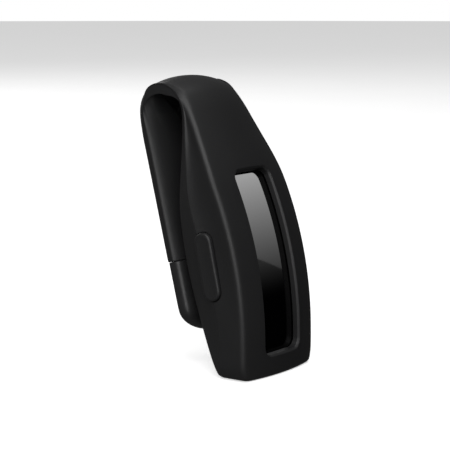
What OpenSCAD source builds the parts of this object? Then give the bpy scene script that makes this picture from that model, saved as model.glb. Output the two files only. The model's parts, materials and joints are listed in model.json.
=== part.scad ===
// Clip-on silicone case with a small fitness tracker inside.
// +Z is up with the loop of the clip at the top, the window faces -Y and the side button is at -X.
// The origin is the middle of the flat lower end. Lengths are in millimetres, angles in degrees.

/* [Case] */
// Full width of the case
case_w = 21.8; // [18:0.5:26]
// Radius of the curved front, seen from the side
front_r = 66; // [58:1:85]
// Height of the upright part at the lower end
foot_h = 6; // [4:0.5:9]
// Lean of the front where it runs up to the loop
lean = 30; // [26:1:33]
// Length of the straight part between the curved front and the loop
brow_l = 11.6; // [10:0.1:15]
// Depth of the flat lower end, behind the front edges
end_d = 6.4; // [5.5:0.1:8]
// Bulge of the front across its width
crown = 1; // [0.5:0.1:1.5]
// Radius of the rounded front edges
ridge_r = 1.1; // [1:0.1:2]
// Depth from the front edges to the moulding line on the sides
crease_d = 6.4; // [5:0.1:8]
// Inward slope of the sides behind the moulding line
facet_a = 22; // [12:1:26]
// Radius of the lower corners, seen from the front
corner_r = 2.2; // [1:0.1:4]
// Depth of the glass behind the front edges
lip_t = 0.7; // [0.5:0.1:1.2]
// Thickness of the case behind the tracker
back_t = 1.2; // [0.9:0.1:1.6]
// Thickness of the case under the tracker
floor_t = 1.9; // [1.5:0.1:2.5]

/* [Window and back mouth] */
// Width of the front window
window_w = 10.3; // [8:0.1:12]
// Height of the lower edge of the window
window_z = 3.9; // [3:0.1:6]
// Height of the window
window_h = 31.7; // [24:0.1:32]
// Corner radius of the window
window_r = 1.6; // [1:0.1:3]
// Width of the mouth in the back, through which the tracker goes in
mouth_w = 9; // [6:0.1:10]
// Height of the mouth in the back
mouth_h = 24; // [16:0.5:26]

/* [Button pad] */
// Length of the raised pad
pad_l = 12.4; // [9:0.1:15]
// Width of the raised pad
pad_w = 3.8; // [3.2:0.1:5]
// How far the pad stands out of the side
pad_proud = 0.5; // [0.3:0.1:0.8]
// Gap round the pad
pad_gap = 0.1; // [0.05:0.01:0.15]
// Travel of the button
press = 0.35; // [0.2:0.05:0.4]

/* [Clip] */
// Width of the strap at the loop
strap_w = 17; // [14:0.1:18]
// Thickness of the strap at the loop
strap_t = 1.9; // [1.7:0.1:2.4]
// Outer radius of the loop
loop_r = 6.3; // [5.9:0.1:7.5]
// Lean of the clip arm
arm_lean = 14; // [13:0.5:17]
// Width of the clip arm
arm_w = 15.6; // [12:0.1:16]
// Thickness of the silicone sleeve of the arm
sleeve_t = 4.6; // [4.2:0.1:4.8]
// Length of the sleeve below the loop
sleeve_l = 26.5; // [22:0.5:30]
// Length of the hard tip below the sleeve
tip_l = 13.3; // [10:0.1:14]
// Thickness of the hard tip
tip_t = 3.8; // [3.2:0.1:4]
// Step from the sleeve down to the tip
tip_step = 0.2; // [0.1:0.05:0.3]
// Thickness of the spring strip
spring_t = 0.5; // [0.3:0.05:0.6]
// Width of the spring strip
spring_w = 10; // [8:0.1:11]
// Length of the spring strip in the case
spring_case_l = 9; // [7:0.5:9.5]
// Length of the spring strip in the arm
spring_arm_l = 20; // [14:0.5:21]

/* [Tracker] */
// Width of the tracker
tracker_w = 16; // [15:0.1:17]
// Length of the tracker along its curved front
tracker_l = 37.3; // [32:0.1:38]
// Wall of the tracker housing
wall = 1.1; // [0.9:0.05:1.3]
// Thickness of the front lens
lens_t = 1.5; // [1:0.1:1.8]
// Rim of the housing round the lens
rim_w = 0.8; // [0.6:0.1:1]
// Depth at which the rear cover meets the housing
split_d = 8.6; // [8.2:0.1:9]
// Length of the display
display_l = 20; // [15:0.5:24]
// Thickness of the main circuit board
board_t = 0.8; // [0.6:0.1:1]
// Thickness of the battery
battery_t = 2.8; // [2:0.1:3]
// Diameter of the vibration motor
motor_d = 7; // [6:0.1:8]
// Thickness of the vibration motor
motor_t = 2.6; // [2.2:0.1:2.8]

/* [Hidden] */
$fn = 64;

far = 60;        // longer than any piece, for cuts that run right through
fit = 0.05;      // clearance between pieces that seat in each other
slack = 0.1;     // clearance between the silicone and the tracker
run = 0.04;      // radial clearance of shafts that turn or slide
lap = 0.02;      // overlap of lengths that run on into each other

// Side view, as [y, z]; front_y is where the front edges stand at the lower end
front_y = -end_d / 2;
front_c = [front_y + front_r, foot_h];
brow = front_c + front_r * [-cos(lean), sin(lean)];
brow_end = brow + brow_l * [sin(lean), cos(lean)];
loop_c = brow_end + loop_r * [cos(lean), -sin(lean)];
loop_in = loop_r - strap_t;
back_y = loop_c[0] - loop_in;
hump_z = foot_h + front_r * sin(20);
bulge_d = back_y - end_d / 2;
back_r = (pow(bulge_d, 2) + pow(hump_z, 2)) / (2 * bulge_d);
back_c = [back_y - back_r, hump_z];
arm_top = loop_c + loop_r * [cos(arm_lean), -sin(arm_lean)];

// The tracker follows the curved front, from below the foot's top to high_a above it
glass_r = front_r - lip_t;
low_a = asin((floor_t - foot_h) / glass_r);
high_a = low_a + tracker_l / glass_r * 180 / PI;
mid_a = (low_a + high_a) / 2;
tracker_p = front_c + glass_r * [-cos(mid_a), sin(mid_a)];
half_w = case_w / 2;
side_x = tracker_w / 2;
seat_d = lip_t + lens_t;
back_in_r = back_r - back_t;

// Flat pieces inside the tracker: depths behind the middle of the glass
sag = pow(display_l / 2, 2) / (2 * glass_r);
display_d = seat_d + sag + 0.2;
display_t = 0.9;
chassis_d = display_d + display_t + 0.15;
chassis_t = 0.5;
cell_d = chassis_d + chassis_t + 0.1;
board_d = cell_d + battery_t + 0.35;
shield_t = 0.8;
sensor_d = board_d + board_t + shield_t + 0.15;
bay_w = 11.5;
motor_gap = 0.3;
low_room = 1.3;
screw_room = 2.6;
end_room = 6.65;
board_l = tracker_l - 2 * end_room;
battery_l = board_l - low_room - motor_d - motor_gap - screw_room;
shield_l = 7;
shield_z = board_l / 2 - 3 - shield_l / 2;
motor_z = low_room + motor_d / 2 - board_l / 2;
cell_z = board_l / 2 - screw_room - battery_l / 2;
screw_r = 0.6;
screw_x = bay_w / 2 - 1.3;
screw_z = board_l / 2 - 1.6;
switch_l = 5;

// Middle of the side button: depth behind the glass and height up the tracker
button_d = 5.5;
button_z = 0.5;
button_l = 8;
button_w = 2.4;
stem_r = 0.8;

// ---- shapes that repeat ----

// Points of an arc about centre c, from angle a to angle b
function arc(c, r, a, b, n = 12) =
    [for (i = [0:n]) c + r * [cos(a + (b - a) * i / n), sin(a + (b - a) * i / n)]];

// Rounded rectangle of size w by h about the origin
function rounded(w, h, r) = concat(
    arc([w / 2 - r, h / 2 - r], r, 0, 90, 6), arc([r - w / 2, h / 2 - r], r, 90, 180, 6),
    arc([r - w / 2, r - h / 2], r, 180, 270, 6), arc([w / 2 - r, r - h / 2], r, 270, 360, 6));

// Cross-section as [depth, x]: crowned front, rounded edges, sides that slope in past depth c
function section(w, front_d, bulge, r, c) = let (
    n = 10, flat = w - r, deep = far / 2, back_x = w - (deep - c) * tan(facet_a),
    front = [for (i = [0:n]) let (x = flat * (2 * i / n - 1))
        [front_d - bulge * (1 - pow(x / flat, 2)), x]],
    right = arc([front_d + r, flat], r, 180, 90, 6),
    left = [for (i = [6:-1:0]) [right[i][0], -right[i][1]]])
    concat(front, right, [[c, w], [deep, max(back_x, 0.5)], [deep, -max(back_x, 0.5)], [c, -w]],
        left);

// Puts radius along -Y about the axis of the curved front, and the turn's start level with it
module about_front_axis() {
    multmatrix([[0, 0, 1, 0], [-1, 0, 0, front_c[0]], [0, -1, 0, front_c[1]], [0, 0, 0, 1]])
        children();
}

// Bends an outline of [depth, x] points along the curved front between two angles
module along_front(points, a, b) {
    about_front_axis() rotate([0, 0, -b]) rotate_extrude(angle = b - a)
        polygon([for (p = points) [front_r - p[0], p[1]]]);
}

// Ring sector about the loop's axis, of radii r0 to r1 and width w, from angle a to b above +Y
module about_loop(r0, r1, w, a, b, r = 0) {
    translate([0, loop_c[0], loop_c[1]])
        multmatrix([[0, 0, 1, 0], [1, 0, 0, 0], [0, 1, 0, 0], [0, 0, 0, 1]])
            rotate([0, 0, a]) rotate_extrude(angle = b - a) translate([(r0 + r1) / 2, 0])
                if (r > 0) polygon(rounded(r1 - r0, w, r));
                else square([r1 - r0, w], center = true);
}

// Side view outline of [y, z] points, pushed through along X
module side_cut(points) {
    rotate([90, 0, 90]) linear_extrude(2 * far, center = true) polygon(points);
}

// Frame of the clip arm: x across, y from the outer face in towards the case, z down the arm
module in_arm() {
    translate([0, arm_top[0], arm_top[1]]) rotate([180 - arm_lean, 0, 0]) children();
}

// Frame of the tracker: x across, y back from the middle of the glass, z up along the tracker
module in_tracker() {
    translate([0, tracker_p[0], tracker_p[1]]) rotate([-mid_a, 0, 0]) children();
}

// Plate of size w by l by t, its front at depth d and its middle at height z
module plate(w, l, t, d, z = 0, r = 0.6, x = 0) {
    translate([x, d + t, z]) rotate([90, 0, 0]) linear_extrude(t) polygon(rounded(w, l, r));
}

// Bar with round ends, long along z, from x0 to x1 at the button's place
module bar(l, w, x0, x1) {
    translate([x0, button_d, button_z]) rotate([0, 90, 0]) linear_extrude(x1 - x0) {
        for (s = [-1, 1]) translate([s * (l - w) / 2, 0]) circle(w / 2);
        square([l - w, w], center = true);
    }
}

// Pebble shape of the tracker, made smaller all round by inset, with its front at depth front_d
module pebble(inset, front_d) {
    end_a = inset / glass_r * 180 / PI;
    intersection() {
        along_front(section(side_x - inset, front_d, 0, 0.6, crease_d + 1.2), low_a + end_a,
            high_a - end_a);
        side_cut(arc(back_c, back_in_r - inset, -60, 60, 60));
    }
}

// Half space behind depth d in the tracker's frame
module behind(d) {
    in_tracker() translate([-far / 2, d, -far / 2]) cube(far);
}

// Silicone body of the case without its holes
module case_blank() {
    outline = section(half_w, 0, crown, ridge_r, crease_d);
    neck_z = brow[1] - 4;
    neck_h = brow_l + 2;
    side = [for (i = [0:8]) let (t = i / 8)
        [half_w - (case_w - strap_w) / 2 * t * t * (3 - 2 * t), neck_z + neck_h * t]];
    right = concat(arc([half_w - corner_r, corner_r], corner_r, -90, 0, 8), side,
        [[strap_w / 2, 2 * far]]);
    left = [for (i = [len(right) - 1:-1:0]) [-right[i][0], right[i][1]]];
    inner = arc(loop_c, loop_in, 180, 180 - lean, 6);
    intersection() {
        union() {
            translate([0, front_y, 0]) linear_extrude(foot_h + lap)
                polygon([for (p = outline) [p[1], p[0]]]);
            along_front(outline, 0, lean);
            translate([0, brow[0], brow[1]]) rotate([-lean, 0, 0]) translate([0, 0, -lap])
                linear_extrude(brow_l + lap) polygon([for (p = outline) [p[1], p[0]]]);
        }
        side_cut(concat([[-far, 0]], arc(back_c, back_r, asin(-hump_z / back_r), 0, 20), inner,
            [inner[6] + far * [sin(lean), cos(lean)], [-far, far]]));
        rotate([90, 0, 0]) linear_extrude(2 * far, center = true)
            polygon(concat(right, left));
    }
}

// ---- clip-on case ----

// Silicone shell with the window, the back mouth and the hole for the pad
module case_shell() {
    color([0.11, 0.11, 0.115]) difference() {
        case_blank();
        pebble(-slack, lip_t - slack);
        // front window
        translate([0, tracker_p[0] + seat_d, window_z + window_h / 2]) rotate([90, 0, 0])
            linear_extrude(far) polygon(rounded(window_w, window_h, window_r));
        // back mouth
        in_tracker() plate(mouth_w, mouth_h, far, split_d, 0, mouth_w / 2 - 0.1);
        in_tracker() bar(pad_l, pad_w, -far, -side_x + 0.5);
        spring_leg_cut();
    }
}

// Oval pad over the side button, with a plunger foot inside
module button_pad() {
    color([0.12, 0.12, 0.125]) in_tracker() {
        bar(pad_l - 2 * pad_gap, pad_w - 2 * pad_gap, -half_w - pad_proud, -side_x - 0.2 - press);
        bar(button_l - 0.6, button_w - 0.4, -half_w, pad_in_x());
    }
}

// Silicone strap over the loop
module strap_loop() {
    color([0.11, 0.11, 0.115]) difference() {
        about_loop(loop_in, loop_r, strap_w, -arm_lean, 180 - lean, 0.7);
        spring_bend_shape();
    }
}

// Silicone sleeve of the clip arm
module arm_sleeve() {
    color([0.12, 0.12, 0.125]) difference() {
        in_arm() linear_extrude(sleeve_l) translate([0, sleeve_t / 2])
            polygon(rounded(arm_w, sleeve_t, 1.3));
        arm_core_shape();
        spring_arm_shape();
    }
}

// Hard core of the arm, which comes out of the sleeve as the tip
module arm_core() {
    color([0.15, 0.15, 0.155]) arm_core_shape();
}

module arm_core_shape() {
    core_w = arm_w - 3.2;
    core_t = sleeve_t - core_y() - 1.1;
    tip_w = arm_w - 2 * tip_step;
    end_r = tip_w / 2 - 0.2;
    in_arm() {
        translate([-core_w / 2, core_y(), sleeve_l - core_l()]) cube([core_w, core_t, core_l()]);
        intersection() {
            translate([0, tip_step + tip_t / 2, sleeve_l]) linear_extrude(tip_l)
                polygon(rounded(tip_w, tip_t, 1.2));
            translate([0, far, sleeve_l]) rotate([90, 0, 0]) linear_extrude(2 * far) {
                translate([0, tip_l - end_r]) circle(end_r);
                translate([-far / 2, 0]) square([far, tip_l - end_r]);
            }
        }
    }
}

// Depth of the spring strip under the strap's outer face, of the core below it, and the core's length
function spring_y() = (strap_t - spring_t) / 2;
function core_y() = spring_y() + spring_t;
function core_l() = sleeve_l - 3;

// Leg of the spring strip in the case
module spring_case_leg() {
    color([0.75, 0.75, 0.77]) spring_leg_cut();
}

module spring_leg_cut() {
    translate([0, brow_end[0], brow_end[1]]) rotate([-lean, 0, 0])
        translate([-spring_w / 2, spring_y(), -spring_case_l])
            cube([spring_w, spring_t, spring_case_l]);
}

// Bend of the spring strip in the loop
module spring_bend() {
    color([0.75, 0.75, 0.77]) spring_bend_shape();
}

module spring_bend_shape() {
    r = loop_r - spring_y();
    about_loop(r - spring_t, r, spring_w, -arm_lean, 180 - lean);
}

// Leg of the spring strip on the arm core
module spring_arm_leg() {
    color([0.75, 0.75, 0.77]) spring_arm_shape();
}

module spring_arm_shape() {
    in_arm() translate([-spring_w / 2, spring_y(), 0]) cube([spring_w, spring_t, spring_arm_l]);
}

// ---- tracker ----

// Curved glass over the front of the tracker
module front_lens() {
    color([0.02, 0.02, 0.025]) lens_blank(fit, lip_t, seat_d);
}

// Curved slab in the lens opening, its edges gap inside the opening, between two depths
module lens_blank(gap, d0, d1) {
    in = rim_w + gap;
    end_a = in / glass_r * 180 / PI;
    w = side_x - in;
    along_front([[d0, -w], [d0, w], [d1, w], [d1, -w]], low_a + end_a, high_a - end_a);
}

// Frame of adhesive under the edge of the lens
module lens_adhesive() {
    color([0.2, 0.2, 0.2]) difference() {
        lens_blank(fit, seat_d, seat_d + 0.1);
        pebble(wall + 0.4, 0);
    }
}

// Display
module display_panel() {
    color([0.06, 0.06, 0.08]) in_tracker() plate(bay_w - 1, display_l, display_t, display_d - lip_t);
}

// Flexible lead from the display round the chassis
module display_flex() {
    d = chassis_d - lip_t - 0.12;
    h = board_l / 2 - 0.7;
    under = max(h - display_l / 2, 0) + 1.6;
    color([0.75, 0.45, 0.15]) in_tracker() {
        translate([-2.5, d, -h]) cube([5, 0.1, under]);
        translate([-2.5, d, -h]) cube([5, board_d - lip_t - d, 0.1]);
    }
}

// Moulded housing of the tracker
module tracker_housing() {
    color([0.08, 0.08, 0.085]) difference() {
        pebble(0, lip_t);
        pebble(wall, seat_d + 0.1);
        lens_blank(0, lip_t - 1, seat_d + 0.1);
        behind(split_d);
        in_tracker() bar(button_l + 2 * run, button_w + 2 * run, -far, -side_x + 0.55);
        in_tracker() stem(stem_r + 0.5, -side_x, -side_x + wall + 0.5);
    }
}

// Seal between the housing and the rear cover
module cover_gasket() {
    color([0.3, 0.3, 0.3]) difference() {
        intersection() {
            pebble(wall * 0.3, 0);
            in_tracker() translate([-far / 2, split_d, -far / 2]) cube([far, 0.2, far]);
        }
        pebble(wall, 0);
    }
}

// Rear cover with the openings for the sensor and the charging contacts
module rear_cover() {
    color([0.09, 0.09, 0.095]) difference() {
        intersection() {
            pebble(0, 0);
            behind(split_d + 0.2);
        }
        pebble(wall, 0);
        in_tracker() plate(sensor_w() + 2 * fit, sensor_w() + 2 * fit, far, split_d, 0, 1 + fit);
        in_tracker() contact_places() cylinder(r = contact_r() + fit, h = far, center = true);
    }
}

function sensor_w() = 6.5;
function contact_r() = 0.7;

// Plate that carries the display, the battery and the board
module chassis() {
    color([0.35, 0.36, 0.38]) in_tracker() difference() {
        plate(bay_w, board_l + 1, chassis_t, chassis_d - lip_t);
        plate(5.4, 0.8, far, -far / 2, 0.65 - board_l / 2, 0.2);
        screw_places() cylinder(r = screw_r + run, h = far, center = true);
    }
}

// Places of the four screws, on axes along the depth
module screw_places() {
    for (x = [-1, 1], z = [-1, 1]) translate([x * screw_x, 0, z * screw_z]) rotate([-90, 0, 0])
        children();
}

// Screws that hold the board to the chassis
module chassis_screws() {
    color([0.7, 0.7, 0.72]) in_tracker() screw_places() {
        translate([0, 0, chassis_d - lip_t]) cylinder(r = screw_r, h = board_rear() - chassis_d + lip_t);
        translate([0, 0, board_rear()]) difference() {
            cylinder(r = 1, h = 0.4);
            translate([0, 0, 0.2]) cylinder(r = 0.4, h = 1, $fn = 6);
        }
    }
}

// Depth of the rear face of the main board behind the glass
function board_rear() = board_d - lip_t + board_t;

// Main circuit board
module main_board() {
    color([0.05, 0.25, 0.15]) in_tracker() difference() {
        plate(bay_w, board_l, board_t, board_d - lip_t);
        screw_places() cylinder(r = screw_r + run, h = far, center = true);
    }
}

// Shield over the radio part of the board
module board_shield() {
    color([0.72, 0.72, 0.73]) in_tracker() difference() {
        plate(8, shield_l, shield_t, board_rear(), shield_z, 0.3);
        plate(7.4, shield_l - 0.6, shield_t - 0.15, board_rear(), shield_z, 0.3);
    }
}

// Chips beside and under the shield
module board_chips() {
    color([0.1, 0.1, 0.1]) in_tracker() {
        plate(3.6, 3.6, 0.5, board_rear(), shield_z, 0.2);
        plate(1, 2.8, 0.6, board_rear(), shield_z - 1, 0.2, -4.8);
        plate(1, 1.6, 0.5, board_rear(), shield_z - 1, 0.2, 4.8);
    }
}

// Antenna along the upper end of the housing
module antenna() {
    color([0.8, 0.6, 0.3]) in_tracker()
        plate(bay_w - 1.5, 1.2, 0.3, cell_d - lip_t + 1.6, board_l / 2 + 1.3, 0.2);
}

// Battery cell
module battery() {
    color([0.75, 0.76, 0.78]) in_tracker()
        plate(bay_w - 2.6, battery_l, battery_t, cell_d - lip_t, cell_z, 1, 1);
}

// Lead from the battery to the board
module battery_flex() {
    color([0.75, 0.45, 0.15]) in_tracker()
        plate(3, 1.4, board_d - cell_d - 0.1, cell_d - lip_t + 0.05, board_l / 2 - 1.8, 0.2, 0);
}

// Can of the vibration motor
module motor_can() {
    color([0.8, 0.8, 0.8]) in_tracker() motor_place() difference() {
        cylinder(d = motor_d, h = motor_t);
        translate([0, 0, 0.25]) cylinder(d = motor_d - 0.5, h = motor_t - 0.5);
    }
    color([0.8, 0.8, 0.8]) in_tracker() motor_place() translate([0, 0, 0.25])
        cylinder(r = 0.4, h = motor_t - 0.5);
}

module motor_place() {
    translate([1, cell_d - lip_t, motor_z]) rotate([-90, 0, 0]) children();
}

// Eccentric rotor on the motor's pin
module motor_rotor() {
    color([0.5, 0.5, 0.52]) in_tracker() motor_place() translate([0, 0, 0.6]) difference() {
        union() {
            cylinder(r = 1.1, h = motor_t - 1.2);
            intersection() {
                cylinder(d = motor_d - 1, h = motor_t - 1.2);
                translate([-far / 2, 0, 0]) cube(far);
            }
        }
        translate([0, 0, -1]) cylinder(r = 0.4 + run, h = far);
    }
}

// Side button: cap, and a stem through the wall to the switch
module side_button() {
    color([0.1, 0.1, 0.1]) in_tracker() {
        bar(button_l, button_w, -side_x - 0.2, -side_x + 0.55 - press - fit);
        stem(stem_r, -side_x - 0.1, stem_end_x() - fit);
    }
}

// Round bar along x at the button's place
module stem(r, x0, x1) {
    translate([x0, button_d, button_z]) rotate([0, 90, 0]) cylinder(r = r, h = x1 - x0);
}

// Inner face of the pad, and the far end of the stem
function pad_in_x() = -side_x - 0.2 - fit;
function stem_end_x() = -side_x + wall + 0.9;

// Ring that seals the stem in the wall
module button_seal() {
    color([0.25, 0.25, 0.25]) in_tracker() difference() {
        stem(stem_r + 0.5 - fit / 2, -side_x + 0.56, -side_x + wall);
        stem(stem_r + run, -side_x, -side_x + 2 * wall);
    }
}

// Clip that keeps the stem in the wall
module button_clip() {
    color([0.7, 0.7, 0.72]) in_tracker() difference() {
        stem(stem_r + 0.5, -side_x + wall + fit, -side_x + wall + 0.3);
        stem(stem_r, -side_x, 0);
    }
}

// Switch behind the stem
module button_switch() {
    x = stem_end_x() + press;
    color([0.2, 0.2, 0.2]) in_tracker() translate([x, button_d - 1, button_z - switch_l / 2])
        cube([0.5, 2, switch_l]);
}

// Board of the optical sensor
module sensor_board() {
    color([0.05, 0.25, 0.15]) in_tracker() plate(6, 6, 0.4, sensor_d - lip_t, 0, 0.5);
}

// Light sources and receiver of the optical sensor
module sensor_diodes() {
    color([0.3, 0.7, 0.3]) in_tracker() {
        for (s = [-1, 1]) plate(0.8, 1, 0.3, sensor_d - lip_t + 0.4, s * 1.9, 0.2);
        plate(1.8, 1.8, 0.3, sensor_d - lip_t + 0.4, 0, 0.2);
    }
}

// Clear window of the optical sensor
module sensor_window() {
    color([0.1, 0.12, 0.1, 0.6]) intersection() {
        pebble(0.05, 0);
        in_tracker() plate(sensor_w(), sensor_w(), far, sensor_d - lip_t + 0.75, 0, 1);
    }
}

// Places of the three charging contacts, on axes along the depth
module contact_places() {
    for (i = [-1:1]) translate([i * 2.4, 0, -6.3]) rotate([-90, 0, 0]) children();
}

// Charging contacts
module charging_contacts() {
    color([0.85, 0.7, 0.35]) intersection() {
        pebble(0.05, 0);
        in_tracker() contact_places() translate([0, 0, board_rear()])
            cylinder(r = contact_r(), h = far);
    }
}

case_shell();
button_pad();
strap_loop();
arm_sleeve();
arm_core();
spring_case_leg();
spring_bend();
spring_arm_leg();
front_lens();
lens_adhesive();
display_panel();
display_flex();
tracker_housing();
cover_gasket();
rear_cover();
chassis();
chassis_screws();
main_board();
board_shield();
board_chips();
antenna();
battery();
battery_flex();
motor_can();
motor_rotor();
side_button();
button_seal();
button_clip();
button_switch();
sensor_board();
sensor_diodes();
sensor_window();
charging_contacts();
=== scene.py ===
import json
import math

import bmesh
import bpy
import numpy as np
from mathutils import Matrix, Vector


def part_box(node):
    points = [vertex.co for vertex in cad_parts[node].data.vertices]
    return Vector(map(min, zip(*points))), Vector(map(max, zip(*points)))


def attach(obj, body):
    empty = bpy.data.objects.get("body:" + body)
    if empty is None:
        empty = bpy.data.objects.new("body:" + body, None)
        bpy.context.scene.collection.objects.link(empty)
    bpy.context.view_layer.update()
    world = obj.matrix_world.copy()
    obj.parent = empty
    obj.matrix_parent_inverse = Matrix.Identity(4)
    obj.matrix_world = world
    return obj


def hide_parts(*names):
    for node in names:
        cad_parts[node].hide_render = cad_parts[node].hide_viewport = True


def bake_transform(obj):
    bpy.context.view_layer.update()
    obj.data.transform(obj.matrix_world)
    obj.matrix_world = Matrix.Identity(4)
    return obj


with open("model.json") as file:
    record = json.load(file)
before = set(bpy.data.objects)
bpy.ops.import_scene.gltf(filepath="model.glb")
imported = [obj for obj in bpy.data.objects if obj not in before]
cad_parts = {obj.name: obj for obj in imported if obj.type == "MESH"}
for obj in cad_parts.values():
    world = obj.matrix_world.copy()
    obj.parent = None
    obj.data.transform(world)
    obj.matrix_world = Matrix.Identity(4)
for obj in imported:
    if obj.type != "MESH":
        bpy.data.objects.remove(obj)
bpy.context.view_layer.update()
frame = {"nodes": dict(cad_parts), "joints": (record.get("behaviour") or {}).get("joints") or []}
MM = 0.001

# ---------------------------------------------------------------------------
# Camera. It looks at the button side, a little from above, with a long lens,
# and the object stands on its flat lower end.

AIM = Vector((0.0, 8.82, 25.42)) * MM
AZIMUTH, ELEVATION = math.radians(-54), math.radians(8.4)
DISTANCE = 290.0 * MM
SENSOR = 36.0
FRAME_WIDTHS_TO_FOCUS = 3.583

camera = bpy.data.objects.new("camera", bpy.data.cameras.new("camera"))
bpy.context.scene.collection.objects.link(camera)
away = Vector((math.sin(AZIMUTH) * math.cos(ELEVATION), -math.cos(AZIMUTH) * math.cos(ELEVATION),
               math.sin(ELEVATION)))
camera.location = AIM + away * DISTANCE
camera.rotation_euler = (-away).to_track_quat("-Z", "Y").to_euler()
camera.data.sensor_width = SENSOR
camera.data.lens = SENSOR * FRAME_WIDTHS_TO_FOCUS
camera.data.clip_start = 0.01
bpy.context.scene.camera = camera


# ---------------------------------------------------------------------------
# Floor and light. A pale floor, six square softboxes round the object, and a tall
# card on the right whose reflection fades down the curved lens.

class Value:
    """A socket of a shader tree that can be added, multiplied and compared."""

    def __init__(self, finish, socket):
        self.finish, self.socket = finish, socket

    def _math(self, operation, *values):
        return self.finish.node("ShaderNodeMath", {"operation": operation}, dict(enumerate(values)))

    def __add__(self, other):
        return self._math("ADD", self, other)

    def __mul__(self, other):
        return self._math("MULTIPLY", self, other)

    def __sub__(self, other):
        return self._math("SUBTRACT", self, other)

    def __rsub__(self, other):
        return self._math("SUBTRACT", other, self)

    __radd__ = __add__
    __rmul__ = __mul__

    def power(self, exponent):
        return self._math("POWER", self, exponent)

    def above(self, limit):
        return self._math("GREATER_THAN", self, limit)


class Finish:
    """A material built round one Principled shader, whose constants are given by socket name."""

    def __init__(self, name, **constants):
        self.material = bpy.data.materials.new(name)
        self.material.use_nodes = True
        self.tree = self.material.node_tree
        self.shader = self.tree.nodes["Principled BSDF"]
        for socket, value in constants.items():
            self.shader.inputs[socket.replace("_", " ")].default_value = value

    def node(self, kind, settings, inputs, output=0):
        """Adds a node, sets its settings, then fills its sockets with values or links."""
        made = self.tree.nodes.new(kind)
        for key, value in settings.items():
            setattr(made, key, value)
        for key, value in inputs.items():
            self.fill(made.inputs[key], value)
        return Value(self, made.outputs[output])

    def fill(self, socket, value):
        if isinstance(value, Value):
            self.tree.links.new(value.socket, socket)
        else:
            socket.default_value = value

    def drive(self, **values):
        """Feeds what changes over the surface to the shader's sockets."""
        for socket, value in values.items():
            self.fill(self.shader.inputs[socket.replace("_", " ")], value)

    def place(self):
        return self.node("ShaderNodeTexCoord", {}, {}, "Object")

    def along(self, axis):
        """Position along x, y or z in millimetres"""
        return self.node("ShaderNodeSeparateXYZ", {}, {"Vector": self.place()}, axis.upper()) * (1 / MM)

    def noise(self, per_mm, detail=3.0, roughness=0.5):
        """Noise with so many features per millimetre, from 0 to 1"""
        return self.node("ShaderNodeTexNoise", {}, {
            "Vector": self.place(), "Scale": per_mm / MM, "Detail": detail, "Roughness": roughness})

    def ramp(self, value, low, high, start=0.0, end=1.0):
        """Value taken from start to end onto low to high, and held outside them."""
        return self.node("ShaderNodeMapRange", {}, {
            "Value": value, "From Min": start, "From Max": end, "To Min": low, "To Max": high})

    def tint(self, factor, colour_a, colour_b):
        return self.node("ShaderNodeMix", {"data_type": "RGBA"}, {
            0: factor, 6: (*colour_a, 1), 7: (*colour_b, 1)}, 2)

    def relief(self, height, depth_mm):
        """Bump of a height from 0 to 1 that stands depth_mm high"""
        return self.node("ShaderNodeBump", {}, {
            "Strength": 1.0, "Distance": depth_mm * MM, "Height": height})


FLOOR_R = 3.0
SOFTBOX_AWAY, SOFTBOX_SIDE = 0.9, 0.5


def disc(name, radius, sides=64):
    mesh = bpy.data.meshes.new(name)
    ring = [(radius * math.cos(2 * math.pi * i / sides), radius * math.sin(2 * math.pi * i / sides), 0)
            for i in range(sides)]
    mesh.from_pydata(ring, [], [list(range(sides))])
    made = bpy.data.objects.new(name, mesh)
    bpy.context.scene.collection.objects.link(made)
    return made


floor_paint = Finish("pale_floor", Roughness=0.9, Specular_IOR_Level=0.1, Emission_Strength=0.55)
mottle = floor_paint.noise(0.02, 2.0)
floor_paint.drive(Base_Color=floor_paint.tint(mottle, (0.86, 0.86, 0.86), (0.9, 0.9, 0.9)),
                  Emission_Color=floor_paint.tint(mottle, (0.98, 0.98, 0.98), (1, 1, 1)))
floor = disc("floor", FLOOR_R)
floor.data.materials.append(floor_paint.material)
floor.visible_glossy = False
floor.visible_diffuse = False


def softbox(name, azimuth, elevation, power):
    """Area light that faces the object from a direction given as a camera's is."""
    a, e = math.radians(azimuth), math.radians(elevation)
    direction = Vector((math.sin(a) * math.cos(e), -math.cos(a) * math.cos(e), math.sin(e)))
    light = bpy.data.lights.new(name, "AREA")
    light.size, light.energy = SOFTBOX_SIDE, power
    lamp = bpy.data.objects.new(name, light)
    bpy.context.scene.collection.objects.link(lamp)
    lamp.location = AIM + direction * SOFTBOX_AWAY
    lamp.rotation_euler = (-direction).to_track_quat("-Z", "Y").to_euler()


for name, azimuth, elevation, watts in (
        ("softbox_key", -42, 52, 2.7), ("softbox_left", -80, 45, 2.1), ("softbox_low", -75, 12, 1.3),
        ("softbox_front", -50, 10, 2.0), ("softbox_top", 60, 75, 1.35), ("softbox_back", 160, 35, 2.0)):
    softbox(name, azimuth, elevation, watts)

CARD_AWAY, CARD_W, CARD_LOW, CARD_HIGH = 900.0, 800.0, -420.0, 560.0
CARD_AZIMUTH = math.radians(60)
CARD_EDGE_SLOPE, CARD_EDGE_X, CARD_EDGE_Z = 1.64, 734.0, 84.0
card_middle = np.array([math.sin(CARD_AZIMUTH), -math.cos(CARD_AZIMUTH)]) * CARD_AWAY
card_side = np.array([math.cos(CARD_AZIMUTH), math.sin(CARD_AZIMUTH)]) * CARD_W / 2
card_mesh = bpy.data.meshes.new("reflection_card")
card_mesh.from_pydata([(*(card_middle + side * card_side) * MM, z * MM) for side, z in
                       ((-1, CARD_LOW), (-1, CARD_HIGH), (1, CARD_HIGH), (1, CARD_LOW))], [], [(0, 1, 2, 3)])
card = bpy.data.objects.new("reflection_card", card_mesh)
bpy.context.scene.collection.objects.link(card)
card.visible_camera = card.visible_diffuse = card.visible_shadow = False

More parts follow.
